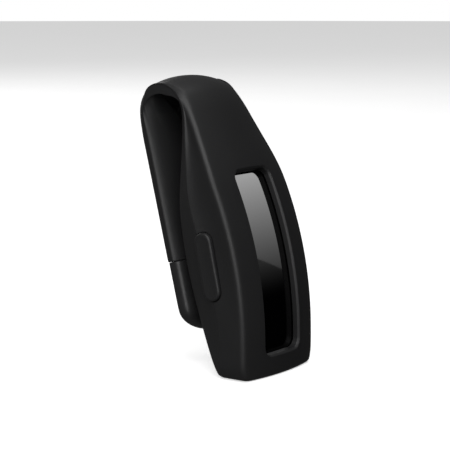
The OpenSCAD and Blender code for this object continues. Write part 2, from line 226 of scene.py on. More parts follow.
# bright above a slanted edge and brighter with height, with a faint glow below the edge
card_paint = Finish("card_light", Base_Color=(0, 0, 0, 1), Roughness=1.0, Specular_IOR_Level=0.0,
                    Emission_Strength=8.0)
height = card_paint.along("z")
bright = card_paint.ramp(height, 0.0, 0.778, -120, 413).power(2)
faint = card_paint.ramp(height, 0.0, 0.19, -42, 95).power(2)
slanted = height + card_paint.along("x") * CARD_EDGE_SLOPE
over_edge = slanted.above(CARD_EDGE_Z + CARD_EDGE_SLOPE * CARD_EDGE_X)
card_paint.drive(Emission_Color=card_paint.node("ShaderNodeCombineColor", {}, dict.fromkeys(
    ("Red", "Green", "Blue"), faint + (bright - faint) * over_edge)))
card.data.materials.append(card_paint.material)

world = bpy.data.worlds.new("studio")
bpy.context.scene.world = world
world.use_nodes = True
air = world.node_tree
background = air.nodes["Background"]
seen = air.nodes.new("ShaderNodeLightPath")
glow = air.nodes.new("ShaderNodeMix")
glow.data_type = "RGBA"
glow.inputs[6].default_value = (0.107, 0.107, 0.107, 1)
glow.inputs[7].default_value = (1, 1, 1, 1)
air.links.new(seen.outputs["Is Camera Ray"], glow.inputs[0])
air.links.new(glow.outputs[2], background.inputs["Color"])
bpy.context.scene.view_settings.view_transform = "Standard"


# ---------------------------------------------------------------------------
# Silicone moulding: case, strap and sleeve. One black silicone rubber moulding
# of about 60 Shore A, pressed in a two-part tool with a fine matt finish. The
# parting line runs down the sides, the strap folds over the top into the clip.

hinge = next(j for j in frame["joints"] if j["name"] == "clip_hinge")
loop_y, loop_z = (v / MM for v in hinge["pos_m"][1:])
case_high, strap_high, arm_high = (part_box(node)[1] / MM for node in (
    "case_shell", "strap_loop", "arm_sleeve"))

FRONT_R, FOOT_H, LEAN, BROW_L = 66.0, 6.0, math.radians(30), 11.6
ARM_LEAN, SLEEVE_L, SLEEVE_T = math.radians(14), 26.5, 4.6
STRAP_T, LOOP_SWELL, CROWN = 1.9, 0.4, 1.0
HUMP_Z = FOOT_H + FRONT_R * math.sin(math.radians(20))
NARROW_FROM, NARROW_TO = 35.5, 50.5
CREASE_D, FACET = 6.4, math.tan(math.radians(22))
LOOP_R = strap_high.z - loop_z
LOOP_IN = LOOP_R - STRAP_T
ARM_SWELL = 0.25
CASE_W, STRAP_W, ARM_W = case_high.x, strap_high.x, arm_high.x + ARM_SWELL
END_D = 6.4
FRONT_Y = -END_D / 2
BACK_Y = loop_y - LOOP_IN
BULGE_D = BACK_Y - END_D / 2
BACK_R = (BULGE_D ** 2 + HUMP_Z ** 2) / (2 * BULGE_D)

# lengths along the moulding, from the flat end up the front, over the loop and down the arm
S_ARC = FOOT_H
S_BROW = S_ARC + FRONT_R * LEAN
S_LOOP = S_BROW + BROW_L
S_ARM = S_LOOP + LOOP_R * (math.pi - LEAN + ARM_LEAN)
S_END = S_ARM + SLEEVE_L


def step(x, low, high):
    """Smooth step from 0 at low to 1 at high"""
    t = np.clip((x - low) / (high - low), 0, 1)
    return t * t * (3 - 2 * t)


def spine(s):
    """Point of the outer edge line at length s, and the direction into the moulding, as (y, z)."""
    s = np.asarray(s, float)
    arc = np.clip((s - S_ARC) / FRONT_R, 0, LEAN)
    turn = np.clip((s - S_LOOP) / LOOP_R, 0, S_ARM / LOOP_R - S_LOOP / LOOP_R)
    angle = math.pi - arc - turn
    inward = np.stack([-np.cos(angle), -np.sin(angle)], -1)
    along = np.stack([np.sin(angle), -np.cos(angle)], -1)
    centre = np.array([FRONT_Y + FRONT_R, FOOT_H])
    point = centre - FRONT_R * inward
    point = np.where((s < S_ARC)[..., None], np.stack([np.full_like(s, FRONT_Y), s], -1), point)
    brow = (s > S_BROW)[..., None]
    point = np.where(brow, point + np.minimum(s - S_BROW, BROW_L)[..., None] * along, point)
    loop = (s > S_LOOP)[..., None]
    point = np.where(loop, np.array([loop_y, loop_z]) - LOOP_R * inward, point)
    arm = (s > S_ARM)[..., None]
    return np.where(arm, point + (s - S_ARM)[..., None] * along, point), inward


def loop_angle(s):
    return math.pi - LEAN - (np.asarray(s, float) - S_LOOP) / LOOP_R


def case_depth(s):
    """Depth from the front edge line to the back of the case."""
    point, inward = spine(s)
    centre = np.array([BACK_Y - BACK_R, HUMP_Z])
    off = point - centre
    b = (off * inward).sum(-1)
    round_back = -b + np.sqrt(np.maximum(b * b - (off * off).sum(-1) + BACK_R ** 2, 0))
    flat_back = (BACK_Y - point[..., 0]) / np.maximum(inward[..., 0], 0.1)
    depth = np.where((point + round_back[..., None] * inward)[..., 1] > HUMP_Z, flat_back, round_back)
    off = point - np.array([loop_y, loop_z])
    b = (off * inward).sum(-1)
    inside = -b - np.sqrt(np.maximum(b * b - (off * off).sum(-1) + LOOP_IN ** 2, 0))
    above = (point + depth[..., None] * inward)[..., 1] > loop_z
    return np.where(above, inside, depth)


def slab_depth(s):
    """Thickness where the straight inner face of the arm runs up into the loop."""
    lean = np.clip(loop_angle(s) + ARM_LEAN, 0, math.radians(75))
    return np.maximum(LOOP_R - (LOOP_R - SLEEVE_T) / np.cos(lean), STRAP_T)


def depth_at(s):
    depth = np.where(s < S_LOOP, case_depth(s), slab_depth(s))
    thick = STRAP_T + LOOP_SWELL * step(s, S_LOOP, S_LOOP + 7)
    return np.where(s > S_ARM, SLEEVE_T, np.maximum(depth, thick))


def half_width(s):
    narrow = np.clip((s - NARROW_FROM) / (NARROW_TO - NARROW_FROM), 0, 1)
    narrow = 0.6 * narrow + 0.4 * step(s, NARROW_FROM, NARROW_TO)
    width = CASE_W - (CASE_W - STRAP_W) * narrow
    return width - (STRAP_W - ARM_W) * step(s, S_LOOP + 8, S_ARM + 8)


# columns of the mesh across each part of the half section, from the front's middle round to the back's
FRONT_N, EDGE_N, SIDE_N, LINE_N, FACET_N, CORNER_N, BACK_N = 8, 4, 5, 3, 3, 4, 6
EDGE_R, ARM_EDGE_R, SUNK, HOLLOW, LIP, LINE_HALF, ARM_ROUND = 1.1, 2.1, 1.1, 0.3, 0.12, 0.22, 1.12


def section(s, depth):
    """Right half of the cross-section at length s and of that depth, as columns of (x, depth)."""
    s, depth = np.broadcast_arrays(np.asarray(s, float), np.asarray(depth, float))
    w = half_width(s)
    arm = step(s, S_LOOP + 7, S_ARM + 5)
    edge_r = EDGE_R + (ARM_EDGE_R - EDGE_R) * arm
    crown = CROWN - 0.45 * arm
    sunk = SUNK * step(s, S_LOOP - 3, S_LOOP + 5) * (1 - arm)
    tilt = np.arctan(2 * crown / (w - edge_r))
    edge_x, edge_d = w - edge_r, edge_r * np.cos(tilt)
    flat = edge_x + edge_r * np.sin(tilt)
    line = CREASE_D - 1.0 + 1.6 * step(s, 4, 26) - 5.7 * np.clip((s - 31.5) / 18.5, 0, 1) ** 1.4
    line = np.minimum(line, depth - 0.6)
    line = line + arm * (depth - 2.2 - line)
    edge_d = edge_d + sunk
    facet_l = depth - line
    columns = []
    for i in range(FRONT_N + 1):
        x = flat * i / FRONT_N
        columns.append((x, sunk - crown * (1 - (x / flat) ** 2)))
    for i in range(1, EDGE_N + 1):
        a = tilt + (math.pi / 2 - tilt) * i / EDGE_N
        columns.append((edge_x + edge_r * np.sin(a), sunk + edge_d - edge_r * np.cos(a)))
    hollow = HOLLOW * step(s, 8, 26) * (1 - step(s, 44, 50)) - 0.12 * arm
    run = line - LINE_HALF - edge_d
    for i in range(1, SIDE_N):
        t = i / SIDE_N
        columns.append((w - hollow * np.sin(math.pi * t), edge_d + run * t))
    lip = LIP * step(s, 10, 30) * (1 - arm)
    slope = FACET * (1 - arm)
    start = (w - slope * LINE_HALF - 0.02 * arm, line + LINE_HALF)
    columns += [(w + lip * 0.6, line - LINE_HALF), (w + lip, line), start]
    corner = np.minimum(1.5, 0.75 * facet_l) * (1 - arm)
    foot_x = w - slope * facet_l
    ends = (foot_x + slope * corner, depth - corner)
    ends = (ends[0] + arm * (w - 0.04 - ends[0]), ends[1] + arm * (depth - 1.95 - ends[1]))
    for i in range(1, FACET_N + 1):
        t = i / FACET_N
        columns.append((start[0] + (ends[0] - start[0]) * t, start[1] + (ends[1] - start[1]) * t))
    inner_x = foot_x - corner - 2.6 * arm
    for i in range(1, CORNER_N + 1):
        t = i / CORNER_N
        soft_x = (1 - t) ** 2 * ends[0] + 2 * t * (1 - t) * foot_x + t * t * inner_x
        soft_d = (1 - t) ** 2 * ends[1] + 2 * t * (1 - t) * depth + t * t * depth
        a = math.pi / 2 * t
        round_x = ends[0] - (ends[0] - inner_x) * (1 - math.cos(a))
        round_d = ends[1] + (depth - ends[1]) * math.sin(a)
        columns.append((soft_x + arm * (round_x - soft_x), soft_d + arm * (round_d - soft_d)))
    for i in range(1, BACK_N + 1):
        columns.append((inner_x * (1 - i / BACK_N), depth + 0 * s))
    columns = np.stack([np.stack(np.broadcast_arrays(x, d), -1) for x, d in columns], -2)
    # the arm is rounded right over, from its sides to the middle of its inner face
    first = FRONT_N + EDGE_N + 1
    turn = np.linspace(0, math.pi / 2, columns.shape[-2] - first + 1)[1:]
    rise = (depth - edge_d)[..., None] * np.sin(turn) ** ARM_ROUND
    over = np.stack([w[..., None] * np.cos(turn) ** ARM_ROUND, edge_d[..., None] + rise], -1)
    columns[..., first:, :] += arm[..., None, None] * (over - columns[..., first:, :])
    return columns


INNER_FROM = FRONT_N + EDGE_N + SIDE_N
COLUMNS = FRONT_N + 1 + EDGE_N + SIDE_N - 1 + LINE_N + FACET_N + CORNER_N + BACK_N


def scoop(x):
    """Length s at which the thick arm begins, at a distance x from the middle."""
    s = np.linspace(S_LOOP + 8, S_ARM + 8, 400)
    point, inward = spine(s)
    z = (point + slab_depth(s)[:, None] * inward)[:, 1]
    wanted = loop_z - 3.4 + np.sqrt(np.asarray(x) ** 2 + 0.8 ** 2)
    return np.interp(-wanted, -z, s)


# rows: a rounded flat end, the case, the loop, the scoop's edge, the arm and its rounded end
FOOT_R, CORNER_R, END_R = 0.7, 2.0, 0.3
window_rows = np.linspace(2.2, 38.6, 17)
upper_rows = np.linspace(38.6, S_LOOP, 9)[1:]
loop_rows = np.linspace(S_LOOP, S_LOOP + 5.5, 6)[1:]
S_WARP, S_WARP_END = S_LOOP + 5.5, S_ARM + 9
SCOOP_OFFSETS = np.array([-1.1, -0.6, -0.32, -0.16, 0.0, 0.2, 0.6])
SCOOP_RISE = (0, 0, 0, 0.86, 0.97, 1, 1)
BEFORE, AFTER = 8, 12
arm_rows = np.linspace(S_WARP_END, S_END - END_R, 9)[1:]
own = np.arange(COLUMNS)


def warped(edge):
    """Lengths s of the rows between the loop's front and the arm, gathered at the scoop's edge."""
    t = np.arange(1, BEFORE + 1)[:, None] / (BEFORE + 1)
    before = S_WARP + (edge + SCOOP_OFFSETS[0] - S_WARP) * t
    at_edge = edge + SCOOP_OFFSETS[:, None]
    t = np.arange(1, AFTER + 1)[:, None] / AFTER
    after = at_edge[-1] + (S_WARP_END - at_edge[-1]) * t
    return np.concatenate([before, at_edge, after])


def place(s, xd):
    """(x, y, z) of section points (x, depth) at lengths s."""
    point, inward = spine(s)
    return np.concatenate([xd[..., 0:1], point + xd[..., 1:2] * inward], -1)


def inset(s, xd, side, ends):
    """Section points drawn in by one amount at the sides and another at the front and back."""
    width, depth = half_width(s), depth_at(s)
    x = xd[..., 0] * (1 - side / width)
    d = xd[..., 1] + ends * (1 - 2 * (xd[..., 1] + CROWN) / (depth + CROWN))
    return np.stack([x, d], -1)


def columns_of(lengths):
    return np.repeat(np.asarray(lengths, float)[:, None], COLUMNS, 1)


foot_a = np.radians([90, 66, 42, 20, 0])
foot_s = columns_of(FOOT_R * (1 - np.sin(foot_a)))
foot_xd = inset(foot_s, section(foot_s, depth_at(foot_s))[:, own, own],
                CORNER_R - np.sqrt(CORNER_R ** 2 - (CORNER_R - foot_s) ** 2),
                FOOT_R * (1 - np.cos(foot_a))[:, None])
case_s = columns_of(np.concatenate([window_rows, upper_rows, loop_rows]))
edge = np.full(COLUMNS, scoop(STRAP_W))
warp_s = warped(edge)
across = section(warp_s, depth_at(warp_s))[BEFORE + 4, own, own, 0]
edge[INNER_FROM:] = scoop(np.minimum(across[INNER_FROM:], STRAP_W))
warp_s = warped(edge)
rise = np.concatenate([np.zeros(BEFORE), SCOOP_RISE, np.ones(AFTER)])[:, None]
strap = STRAP_T + LOOP_SWELL
warp_depth = strap + (depth_at(warp_s) - strap) * np.where(own >= INNER_FROM, rise, 1)
arm_s = columns_of(arm_rows)
end_a = np.radians([30, 60, 90])
end_s = columns_of(S_END - END_R + END_R * np.sin(end_a))
end_xd = inset(end_s, section(end_s, depth_at(end_s))[:, own, own],
               *[END_R * (1 - np.cos(end_a))[:, None]] * 2)
all_s = np.concatenate([case_s, warp_s, arm_s])
all_depth = np.concatenate([depth_at(case_s), warp_depth, depth_at(arm_s)])
skin_s = np.concatenate([foot_s, all_s, end_s])
skin_xd = np.concatenate([foot_xd, section(all_s, all_depth)[:, own, own], end_xd])
half = place(skin_s, skin_xd)
ROWS = len(half)
RING = 2 * (COLUMNS - 1)
FIRST_WINDOW_ROW = len(foot_a)


def ring_vertex(row, k):
    return row * RING + k % RING


def rounded(half_w, half_l, r, across_n, along_n, corner_n=3):
    """Rounded rectangle as (x, s) offsets, from the lower left corner's middle, anticlockwise,
    with as many points on each side as the grid has cells there."""
    points = []
    for quarter in range(4):
        count = (across_n, along_n)[quarter % 2]
        a0 = math.radians(-135 + 90 * quarter)
        turn = np.array([[math.cos(quarter * math.pi / 2), -math.sin(quarter * math.pi / 2)],
                         [math.sin(quarter * math.pi / 2), math.cos(quarter * math.pi / 2)]])
        run, away_l = (half_w, half_l)[quarter % 2] - r, (half_l, half_w)[quarter % 2] - r
        for i in range(count):
            if i <= corner_n:
                a = math.radians(-135 + 45 * i / corner_n)
                p = (-run + r * math.cos(a), -away_l + r * math.sin(a))
            elif i >= count - corner_n:
                a = math.radians(-90 + 45 * (i - count + corner_n) / corner_n)
                p = (run + r * math.cos(a), -away_l + r * math.sin(a))
            else:
                t = (i - corner_n) / (count - 2 * corner_n)
                p = (-run + 2 * run * t, -away_l - r)
            points.append(turn @ np.array(p))
    return np.array(points)


def front_surface(s, x):
    """Section point of the crowned front at length s, a distance x from the middle."""
    edge_x = half_width(s) - EDGE_R
    flat = edge_x + EDGE_R * np.sin(np.arctan(2 * CROWN / edge_x))
    return np.stack([x, -CROWN * (1 - (x / flat) ** 2)], -1)


def back_surface(s, x):
    return np.stack([x, depth_at(s)], -1)


vertices = []
for row in half:
    vertices += [tuple(p) for p in row]
    vertices += [(-row[j][0], row[j][1], row[j][2]) for j in range(COLUMNS - 2, 0, -1)]
faces = []


def hole(middle, reach, surface, shape, lip, sign):
    """Leaves out the cells round a middle column and fills them with rings that run into a hole.
    shape is the hole's middle s, half width, half length and corner radius; lip lists how far
    each ring stands outside the hole and how deep it lies; sign is 1 where s is up and x right."""
    mid_s, half_w, half_l, r = shape
    first, last = FIRST_WINDOW_ROW, FIRST_WINDOW_ROW + len(window_rows) - 1
    across_n, along_n = 2 * reach, last - first
    border = [(first, middle + sign * k) for k in range(-reach, reach)]
    border += [(row, middle + sign * reach) for row in range(first, last)]
    border += [(last, middle - sign * k) for k in range(-reach, reach)]
    border += [(row, middle - sign * reach) for row in range(last, first, -1)]
    outer = [ring_vertex(*b) for b in border]
    outer_x = np.array([vertices[v][0] for v in outer])
    outer_s = np.array([skin_s[b[0], 0] for b in border])
    previous = outer
    start = rounded(half_w + lip[0][0], half_l + lip[0][0], r + lip[0][0], across_n, along_n)
    levels = [(outer_s + (mid_s + start[:, 1] - outer_s) * t, outer_x + (start[:, 0] - outer_x) * t, 0)
              for t in (0.35, 0.7)]
    for out, sunk in lip:
        at = rounded(half_w + out, half_l + out, r + out, across_n, along_n)
        levels.append((mid_s + at[:, 1], at[:, 0], sunk))
    for s, x, sunk in levels:
        xd = surface(s, x)
        xd[:, 1] += sunk
        base = len(vertices)
        vertices.extend(tuple(p) for p in place(s, xd))
        current = list(range(base, base + len(outer)))
        for i in range(len(outer)):
            j = (i + 1) % len(outer)
            faces.append((previous[i], previous[j], current[j], current[i]))
        previous = current
    faces.append(tuple(previous))
    return {(row, (middle + k) % RING) for row in range(first, last) for k in range(-reach, reach)}


WINDOW_W, WINDOW_Z, WINDOW_H, WINDOW_R = 10.3, 3.9, 31.7, 1.6
top_s = S_ARC + FRONT_R * math.asin((WINDOW_Z + WINDOW_H - FOOT_H) / FRONT_R)
window = ((WINDOW_Z + top_s) / 2, WINDOW_W / 2, (top_s - WINDOW_Z) / 2, WINDOW_R)
WINDOW_LIP = [(0.85, 0), (0.45, 0), (0.34, 0.01), (0.28, 0.06), (0.04, 0.34), (0, 0.42), (0, 0.7),
              (0, 1.8), (0, 2.6), (0, 4.4)]
skipped = hole(0, 6, front_surface, window, WINDOW_LIP, 1)

MOUTH_W, MOUTH_H = 9.0, 24.0
TRACKER_L, LIP_T, FLOOR_T, WALL_BACK = 37.3, 0.7, 1.9, 1.2
GLASS_R = FRONT_R - LIP_T
low_a = math.asin((FLOOR_T - FOOT_H) / GLASS_R)
high_a = low_a + TRACKER_L / GLASS_R
mid_a = (low_a + high_a) / 2
mouth_s = S_ARC + FRONT_R * mid_a
mouth_l = MOUTH_H / 2 * FRONT_R / (FRONT_R - float(case_depth(mouth_s)))
MOUTH_LIP = [(0.9, 0), (0.5, -0.02), (0.25, -0.12), (0.05, -0.32), (0, -0.6), (0, -1.4),
             (0, -2.4), (0, -4.0)]
skipped |= hole(COLUMNS - 1, 5, back_surface, (mouth_s, MOUTH_W / 2, mouth_l, MOUTH_W / 2 - 0.1),
                MOUTH_LIP, -1)

for row in range(ROWS - 1):
    for k in range(RING):
        if (row, k) not in skipped:
            faces.append((ring_vertex(row, k), ring_vertex(row, k + 1),
                          ring_vertex(row + 1, k + 1), ring_vertex(row + 1, k)))
for row in (0, ROWS - 1):
    faces.append((ring_vertex(row, 0), ring_vertex(row, 1), ring_vertex(row, -1)))
    faces.append((ring_vertex(row, COLUMNS - 1), ring_vertex(row, COLUMNS - 2),
                  ring_vertex(row, COLUMNS)))
    for j in range(1, COLUMNS - 2):
        faces.append((ring_vertex(row, j), ring_vertex(row, j + 1), ring_vertex(row, -j - 1),
                      ring_vertex(row, -j)))


def add_mesh(name, points, polygons):
    """Object at the origin from points in millimetres, with its faces turned outwards."""
    mesh = bpy.data.meshes.new(name)
    mesh.from_pydata([tuple(c * MM for c in p) for p in points], [], polygons)
    shape = bmesh.new()
    shape.from_mesh(mesh)
    bmesh.ops.recalc_face_normals(shape, faces=shape.faces)
    shape.to_mesh(mesh)
    shape.free()
    made = bpy.data.objects.new(name, mesh)
    bpy.context.scene.collection.objects.link(made)
    return made


def settle(piece, crease=35):
    """Applies the modifiers to the mesh and shades it smooth but for edges sharper than crease."""
    evaluated = piece.evaluated_get(bpy.context.evaluated_depsgraph_get())
    mesh = bpy.data.meshes.new_from_object(evaluated)
    piece.modifiers.clear()
    piece.data = mesh
    mesh.shade_smooth()
    mesh.set_sharp_from_angle(angle=math.radians(crease))
    return piece


def soften(piece, levels):
    made = piece.modifiers.new("soften", "SUBSURF")
    made.levels = made.render_levels = levels
    return settle(piece)


skin = soften(add_mesh("silicone_moulding", vertices, faces), 2)

# the cavity for the tracker, which opens into the window and the mouth, and the hole for the pad
SLACK, SIDE_X, CAVITY_BEND = 0.1, 8.0, 7.6
PAD_L, PAD_W, PAD_DEPTH, PAD_RISE, PAD_GAP = 12.4, 3.8, 5.5, 0.5, 0.1


def cut(piece, cutter):
    """Takes one closed mesh out of another and deletes it."""
    change = piece.modifiers.new("cut", "BOOLEAN")
    change.operation, change.solver, change.object = "DIFFERENCE", "EXACT", cutter
    settle(piece)
    bpy.data.objects.remove(cutter)


def lofted(name, rings):
    """Closed mesh through rings of equal numbers of points, with flat ends."""
    count = len(rings[0])
    polygons = [(row * count + k, row * count + (k + 1) % count, (row + 1) * count + (k + 1) % count,
                 (row + 1) * count + k) for row in range(len(rings) - 1) for k in range(count)]
    polygons += [tuple(range(count)), tuple(range((len(rings) - 1) * count, len(rings) * count))]
    return add_mesh(name, [point for ring in rings for point in ring], polygons)


def radial(angle, x, depth):
    """Point at a depth under the curved front's edge line, along a radius of the front."""
    reach = FRONT_R - depth
    return (x, FRONT_Y + FRONT_R - reach * math.cos(angle), FOOT_H + reach * math.sin(angle))


def cavity_ring(angle, spare=SLACK, front=LIP_T):
    s = S_ARC + FRONT_R * angle
    deep = float(case_depth(max(s, S_ARC))) - WALL_BACK + spare
    side, slope = SIDE_X + spare, FACET * max(deep - CAVITY_BEND, 0)
    half_ring = [(side, front - spare), (side, min(CAVITY_BEND, deep - 0.4)), (side - slope, deep)]
    return [radial(angle, x, d) for x, d in half_ring] + [
        radial(angle, -x, d) for x, d in reversed(half_ring)]


END_SPARE = SLACK / GLASS_R
cavity_a = np.linspace(low_a - END_SPARE, high_a + END_SPARE, 40)
cut(skin, lofted("cavity", [cavity_ring(a) for a in cavity_a]))


def tracker_place(x, back, up):
    """Point in the tracker's frame: back from the middle of the glass, and up along the tracker."""
    glass = radial(mid_a, 0, LIP_T)
    return (x, glass[1] + back * math.cos(mid_a) + up * math.sin(mid_a),
            glass[2] - back * math.sin(mid_a) + up * math.cos(mid_a))


def stadium(length, width, turn=16):
    """Outline with round ends as (across, along) points."""
    r, run = width / 2, (length - width) / 2
    arc_points = [(r * math.cos(a), r * math.sin(a)) for a in np.linspace(0, math.pi, turn)]
    return [(x, y + run) for x, y in arc_points] + [(-x, -y - run) for x, y in arc_points]


def pad_ring(x, draw_in):
    return [tracker_place(x, PAD_DEPTH + across, PAD_RISE + along)
            for across, along in stadium(PAD_L - 2 * draw_in, PAD_W - 2 * draw_in)]


cut(skin, lofted("pad_hole", [pad_ring(x, -0.02) for x in (-CASE_W - 2, 0.5 - SIDE_X)]))
skin.data.name = "silicone_moulding"

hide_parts("case_shell", "strap_loop", "arm_sleeve")
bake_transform(skin)

# the share of the clip's turn is worked out for each point, spread evenly round the loop and whole on the
# arm, but it is not stored or applied
SPREAD_FROM, SPREAD = math.pi - LEAN, math.pi - LEAN + ARM_LEAN
ARM_REACH = SLEEVE_T + 0.2


def follow_loop(piece):
    """Works out the share of the clip's turn for each point, by its angle about the loop's middle, but
    neither stores nor returns it.
    """
    co = np.empty(len(piece.data.vertices) * 3)
    piece.data.vertices.foreach_get("co", co)
    y, z = (co.reshape(-1, 3)[:, 1:] / MM - (loop_y, loop_z)).T
    angle = np.arctan2(z, y)
    share = np.clip((SPREAD_FROM - angle) / SPREAD, 0, 1)
    arm_point, arm_inward = spine(S_ARM)
    under = (y + loop_y - arm_point[0]) * arm_inward[0] + (z + loop_z - arm_point[1]) * arm_inward[1]
    low_share = np.where(under < ARM_REACH, np.where(angle < 0, share, 1), 0)
    share = np.where(z > 0, share, low_share)


follow_loop(skin)

rubber = Finish("black_silicone", Specular_IOR_Level=0.5, IOR=1.43)
cloud = rubber.noise(0.12, 2.0)
grain = rubber.noise(5.0, 3.0, roughness=0.6)
rubber.drive(Base_Color=rubber.tint(cloud, (0.0125, 0.0125, 0.013), (0.016, 0.016, 0.0165)),
             Roughness=rubber.ramp(grain, 0.40, 0.52, 0.3, 0.7),
             Normal=rubber.relief(grain, 0.012))
skin.data.materials.clear()
skin.data.materials.append(rubber.material)


# ---------------------------------------------------------------------------
# Button pad. A raised oval of the same silicone over the tracker's side button,
# held at its rim by a thin web, with a foot behind it that presses the button.

PAD_PROUD, PRESS, PAD_RIM = 0.5, 0.35, 0.45
pad_face = -CASE_W - PAD_PROUD
rim_a = np.linspace(0, math.pi / 2, 6)
pad_profile = [(-SIDE_X - 0.2 - PRESS, PAD_GAP), (-CASE_W + 0.1, PAD_GAP)]
pad_profile += [(pad_face + PAD_RIM * (1 - math.sin(a)), PAD_GAP + PAD_RIM * (1 - math.cos(a)))
                for a in rim_a]
pad_profile += [(pad_face + dip, PAD_GAP + PAD_RIM + in_from_rim)
                for dip, in_from_rim in ((0.02, 0.25), (0.06, 0.7))]
pad = settle(lofted("button_pad_face", [pad_ring(x, draw_in) for x, draw_in in pad_profile]), 50)
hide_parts("button_pad")
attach(pad, "pad")
pad.data.materials.append(rubber.material)


# ---------------------------------------------------------------------------
# Clip arm core. Hard nylon core, moulded over the end of the spring strip. It is
# hidden in the sleeve down to its smooth rounded tip, which is lightly polished.

CORE_L, CORE_W, CORE_T, CORE_D = 22.0, 11.2, 1.9, 1.4
TIP_L, TIP_W, TIP_T, TIP_STEP, TIP_END, TIP_SQUARE, RING_N = 13.3, 7.95, 4.0, 0.05, 4.4, 3.4, 40


def arm_place(x, depth, down):
    """Point in the arm's frame: depth from the outer face, and down from the top of the arm."""
    point, inward = spine(S_ARM + down)
    return (x, point[0] + depth * inward[0], point[1] + depth * inward[1])


def arm_ring(down, half_w, low_d, high_d, squareness):
    """Ring across the arm between two depths, from an ellipse at 2 to squarer above it."""
    ring = []
    for i in range(RING_N):
        a = 2 * math.pi * (i + 0.5) / RING_N
        c, n = math.cos(a), math.sin(a)
        x = half_w * math.copysign(abs(c) ** (2 / squareness), c)
        d = math.copysign(abs(n) ** (2 / squareness), n) / 2 * (high_d - low_d)
        ring.append(arm_place(x, (low_d + high_d) / 2 + d, down))
    return ring


tip_rings = [arm_ring(down, CORE_W / 2, CORE_D, CORE_D + CORE_T, 9)
             for down in (SLEEVE_L - CORE_L, SLEEVE_L - 0.5, SLEEVE_L - 0.05)]
tip_rings += [arm_ring(SLEEVE_L + down, TIP_W - draw_in, TIP_STEP + draw_in,
                       TIP_STEP + TIP_T - draw_in, TIP_SQUARE)
              for down, draw_in in ((0.0, 0.6), (0.02, 0.12), (0.06, 0.03))]
for down in np.linspace(0.16, TIP_L - TIP_END, 6):
    tip_rings.append(arm_ring(SLEEVE_L + down, TIP_W, TIP_STEP, TIP_STEP + TIP_T, TIP_SQUARE))
middle = TIP_STEP + TIP_T / 2
for t in np.sin(np.radians([12, 26, 40, 53, 65, 75, 83, 88])):
    shrink = math.sqrt(1 - t * t)
    thin = TIP_T * (0.18 + 0.82 * (1 - t ** 2.6))
    tip_rings.append(arm_ring(SLEEVE_L + TIP_L - TIP_END * (1 - t), TIP_W * shrink, middle - thin / 2,
                              middle + thin / 2, TIP_SQUARE - 1.2 * t))
tip = soften(lofted("clip_tip", tip_rings), 1)
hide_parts("arm_core")
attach(tip, "clip_arm")
nylon = Finish("satin_nylon", IOR=1.5)
orange = nylon.noise(1.6, 2.0)
nylon.drive(Base_Color=nylon.tint(nylon.noise(0.2, 2.0), (0.014, 0.014, 0.0145), (0.018, 0.018, 0.0185)),
            Roughness=nylon.ramp(orange, 0.36, 0.46, 0.3, 0.7), Normal=nylon.relief(orange, 0.006))
tip.data.materials.append(nylon.material)


# ---------------------------------------------------------------------------
# Spring strip. One strip of hardened steel, bent round the loop, that gives the
# clip its grip. The silicone and the nylon core are moulded over it.

SPRING_T, SPRING_W, SPRING_CASE_L, SPRING_ARM_L = 0.5, 10.0, 9.0, 20.0
spring_s = np.concatenate([[S_LOOP - SPRING_CASE_L, S_LOOP - SPRING_CASE_L / 2],
                           np.linspace(S_LOOP, S_ARM, 33), [S_ARM + SPRING_ARM_L / 2, S_ARM + SPRING_ARM_L]])
spring_point, spring_inward = spine(spring_s)
spring_path = spring_point + STRAP_T / 2 * spring_inward
path_mesh = bpy.data.meshes.new("spring_path")
path_mesh.from_pydata([(0, y * MM, z * MM) for y, z in spring_path],
                      [(i, i + 1) for i in range(len(spring_path) - 1)], [])
spring = bpy.data.objects.new("spring_strip", path_mesh)
bpy.context.scene.collection.objects.link(spring)


class NodeTree:
    """Geometry Nodes tree with named inputs, which runs on one object and is then applied."""

    def __init__(self, name, **sizes):
        self.group = bpy.data.node_groups.new(name, "GeometryNodeTree")
        face = self.group.interface
        face.new_socket("Geometry", in_out="INPUT", socket_type="NodeSocketGeometry")
        face.new_socket("Geometry", in_out="OUTPUT", socket_type="NodeSocketGeometry")
        self.keys = {key: face.new_socket(key, in_out="INPUT", socket_type="NodeSocketFloat").identifier
                     for key in sizes}
        self.sizes = sizes
        self.source = self.group.nodes.new("NodeGroupInput")
        self.sink = self.group.nodes.new("NodeGroupOutput")

    def fill(self, socket, value):
        if isinstance(value, bpy.types.NodeSocket):
            self.group.links.new(value, socket)
        else:
            socket.default_value = value

    def node(self, kind, settings=None, **inputs):
        """Adds a node with its settings and sockets filled, and gives its first output."""
        made = self.group.nodes.new(kind)
        for key, value in (settings or {}).items():
            setattr(made, key, value)
        for key, value in inputs.items():
            self.fill(made.inputs[key.replace("_", " ")], value)
        return made.outputs[0]

    def size(self, key):
        return self.source.outputs[key]

    def run(self, piece, geometry, material):
        """Ends the tree, applies it to the piece and gives the piece its material."""
        real = self.node("GeometryNodeRealizeInstances", Geometry=geometry)
        painted = self.node("GeometryNodeSetMaterial", Geometry=real, Material=material)
        self.group.links.new(painted, self.sink.inputs[0])
        change = piece.modifiers.new("tree", "NODES")
        change.node_group = self.group
        for key, value in self.sizes.items():
            change[self.keys[key]] = value
        settle(piece, 30)


def speckled(name, dark, light, roughness, grain_per_mm=3.0, relief_mm=0.005, **constants):
    """Finish that varies finely between two colours and in its gloss."""
    finish = Finish(name, **constants)
    patches = finish.noise(0.4, 2.0)
    fine = finish.noise(grain_per_mm, 2.0)
    finish.drive(Base_Color=finish.tint(patches, dark, light),
                 Roughness=finish.ramp(fine, roughness - 0.05, roughness + 0.07, 0.3, 0.7),
                 Normal=finish.relief(fine, relief_mm))
    return finish.material


